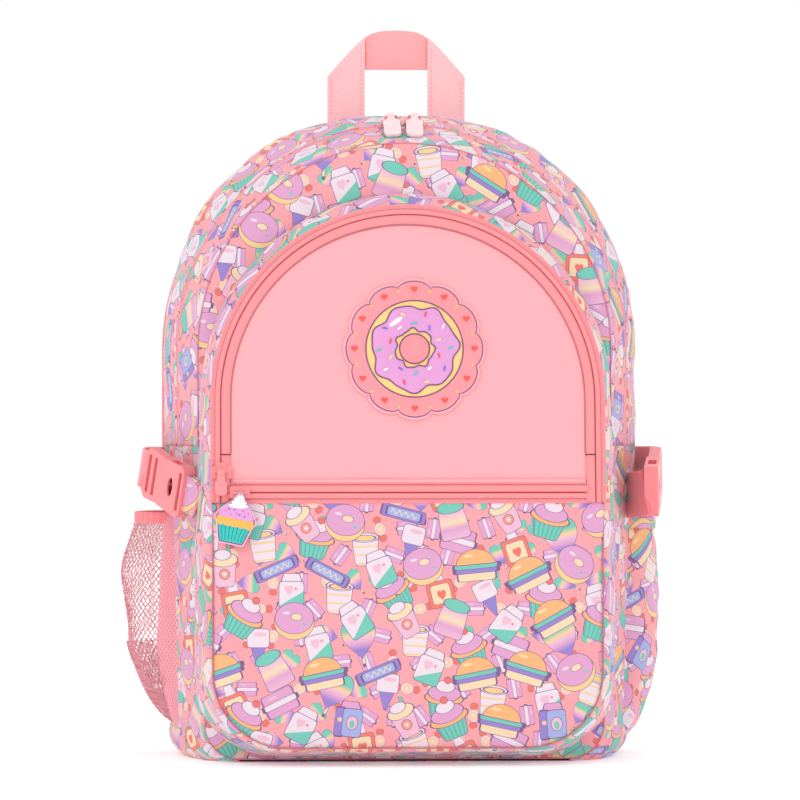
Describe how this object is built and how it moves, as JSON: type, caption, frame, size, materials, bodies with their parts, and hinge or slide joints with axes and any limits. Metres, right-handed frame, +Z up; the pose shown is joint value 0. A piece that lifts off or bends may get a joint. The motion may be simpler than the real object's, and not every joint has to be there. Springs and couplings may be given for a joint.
{
  "type": "school backpack",
  "caption": "Child's zipped backpack with a round-topped front pocket, side pockets, side clips, padded shoulder straps and a webbing handle.",
  "frame": {"origin": "centre of the flat base, on the surface that the bag stands on", "axes": "+Z up, -Y towards the front pocket, +X to the right of someone who faces the front pocket"},
  "size_m": [0.3517, 0.2056, 0.476],
  "materials": {
    "printed_fabric": "woven, printed",
    "plain_fabric": "woven",
    "zip_tape": "woven tape",
    "webbing": "ribbed weave",
    "moulded_plastic": "satin",
    "charm_rubber": "gloss",
    "badge_rubber": "satin",
    "ring_metal": "polished",
    "mesh": "knotted net",
    "lining": "smooth",
    "air_mesh_pad": "spacer mesh",
    "base_board": "matt"
  },
  "bodies": {
    "root": {"arch_zip_stringer_outer": "zip_tape", "flap_hem": "plain_fabric", "top_gusset_front": "printed_fabric", "top_gusset_rear": "printed_fabric", "side_gusset_left": "printed_fabric", "side_gusset_right": "printed_fabric", "base_panel": "printed_fabric", "base_board": "base_board", "front_panel": "printed_fabric", "main_zip_stringer_front": "zip_tape", "main_zip_stringer_rear": "zip_tape", "pocket_gusset": "printed_fabric", "pocket_lower_panel": "printed_fabric", "pocket_divider": "lining", "lower_zip_stringer_upper": "zip_tape", "lower_zip_stringer_lower": "zip_tape", "back_panel": "air_mesh_pad", "back_pad_left": "air_mesh_pad", "back_pad_right": "air_mesh_pad", "back_pad_lumbar": "air_mesh_pad", "rear_piping": "webbing", "shoulder_yoke": "printed_fabric", "lower_webbing_left": "webbing", "strap_wing_left": "printed_fabric", "lower_webbing_right": "webbing", "strap_wing_right": "printed_fabric", "mesh_pocket": "mesh", "mesh_pocket_binding": "webbing", "fabric_pocket": "printed_fabric", "fabric_pocket_binding": "webbing", "buckle_socket_left": "moulded_plastic", "clip_tab_left": "webbing", "buckle_socket_right": "moulded_plastic", "clip_tab_right": "webbing"},
    "main_slider_left": {"main_slider_left": "moulded_plastic"},
    "main_pull_left": {"main_pull_left": "moulded_plastic"},
    "main_slider_right": {"main_slider_right": "moulded_plastic"},
    "main_pull_right": {"main_pull_right": "moulded_plastic"},
    "arch_slider": {"arch_slider": "moulded_plastic"},
    "arch_pull": {"arch_pull": "moulded_plastic"},
    "lower_slider": {"lower_slider": "moulded_plastic"},
    "charm_ring": {"charm_ring": "ring_metal"},
    "charm": {"charm": "charm_rubber"},
    "flap": {"flap_panel": "plain_fabric", "arch_zip_stringer_inner": "zip_tape", "badge_base": "badge_rubber", "badge_art": "badge_rubber"},
    "carry_handle": {"carry_handle": "webbing"},
    "clip_left": {"buckle_prongs_left": "moulded_plastic", "clip_webbing_left": "webbing"},
    "shoulder_strap_left": {"shoulder_strap_left": "air_mesh_pad", "strap_end_webbing_left": "webbing"},
    "ladder_lock_left": {"ladder_lock_left": "moulded_plastic", "webbing_tail_left": "webbing"},
    "clip_right": {"buckle_prongs_right": "moulded_plastic", "clip_webbing_right": "webbing"},
    "shoulder_strap_right": {"shoulder_strap_right": "air_mesh_pad", "strap_end_webbing_right": "webbing"},
    "ladder_lock_right": {"ladder_lock_right": "moulded_plastic", "webbing_tail_right": "webbing"}
  },
  "joints": [
    {"name": "main_slider_left_travel", "type": "hinge", "parent": "root", "child": "main_slider_left", "pos_m": [0, -0.005, 0.266], "axis": [0, 1, 0], "range_deg": [-82, 0]},
    {"name": "main_pull_left_lift", "type": "hinge", "parent": "main_slider_left", "child": "main_pull_left", "pos_m": [-0.00772, -0.00726, 0.41841], "axis": [0.9987, 0, 0.0506], "range_deg": [-150, 0]},
    {"name": "main_slider_right_travel", "type": "hinge", "parent": "root", "child": "main_slider_right", "pos_m": [0, -0.005, 0.266], "axis": [0, 1, 0], "range_deg": [0, 82]},
    {"name": "main_pull_right_lift", "type": "hinge", "parent": "main_slider_right", "child": "main_pull_right", "pos_m": [0.00772, -0.00726, 0.41841], "axis": [0.9987, 0, -0.0506], "range_deg": [-150, 0]},
    {"name": "arch_slider_travel", "type": "slide", "parent": "root", "child": "arch_slider", "axis": [0, 0.1219, 0.9925], "range_m": [0, 0.045]},
    {"name": "arch_pull_lift", "type": "hinge", "parent": "arch_slider", "child": "arch_pull", "pos_m": [-0.1195, -0.08958, 0.18778], "axis": [1, 0, 0], "range_deg": [-150, 0]},
    {"name": "lower_slider_travel", "type": "slide", "parent": "root", "child": "lower_slider", "axis": [1, 0, 0], "range_m": [0, 0.21]},
    {"name": "charm_ring_lift", "type": "hinge", "parent": "lower_slider", "child": "charm_ring", "pos_m": [-0.1075, -0.0911, 0.1745], "axis": [1, 0, 0], "range_deg": [-100, 6]},
    {"name": "charm_swing", "type": "hinge", "parent": "charm_ring", "child": "charm", "pos_m": [-0.1075, -0.0911, 0.1713], "axis": [0, 1, 0], "range_deg": [-38, 38]},
    {"name": "flap_fold", "type": "hinge", "parent": "root", "child": "flap", "pos_m": [0, -0.08191, 0.19691], "axis": [1, 0, 0], "range_deg": [0, 90]},
    {"name": "handle_fold", "type": "hinge", "parent": "root", "child": "carry_handle", "pos_m": [0, 0.0797, 0.4236], "axis": [1, 0, 0], "range_deg": [-100, 75]},
    {"name": "clip_left_release", "type": "slide", "parent": "root", "child": "clip_left", "axis": [-0.4925, 0.8197, 0.2924], "range_m": [0, 0.022]},
    {"name": "shoulder_strap_left_lift", "type": "hinge", "parent": "root", "child": "shoulder_strap_left", "pos_m": [-0.044, 0.088, 0.392], "axis": [1, 0, 0], "range_deg": [0, 12]},
    {"name": "ladder_lock_left_tilt", "type": "hinge", "parent": "shoulder_strap_left", "child": "ladder_lock_left", "pos_m": [-0.106, 0.099, 0.126], "axis": [1, 0, 0], "range_deg": [0, 15]},
    {"name": "clip_right_release", "type": "slide", "parent": "root", "child": "clip_right", "axis": [0.1661, 0.9418, 0.2924], "range_m": [0, 0.022]},
    {"name": "shoulder_strap_right_lift", "type": "hinge", "parent": "root", "child": "shoulder_strap_right", "pos_m": [0.044, 0.088, 0.392], "axis": [1, 0, 0], "range_deg": [0, 12]},
    {"name": "ladder_lock_right_tilt", "type": "hinge", "parent": "shoulder_strap_right", "child": "ladder_lock_right", "pos_m": [0.106, 0.099, 0.126], "axis": [1, 0, 0], "range_deg": [0, 15]}
  ]
}
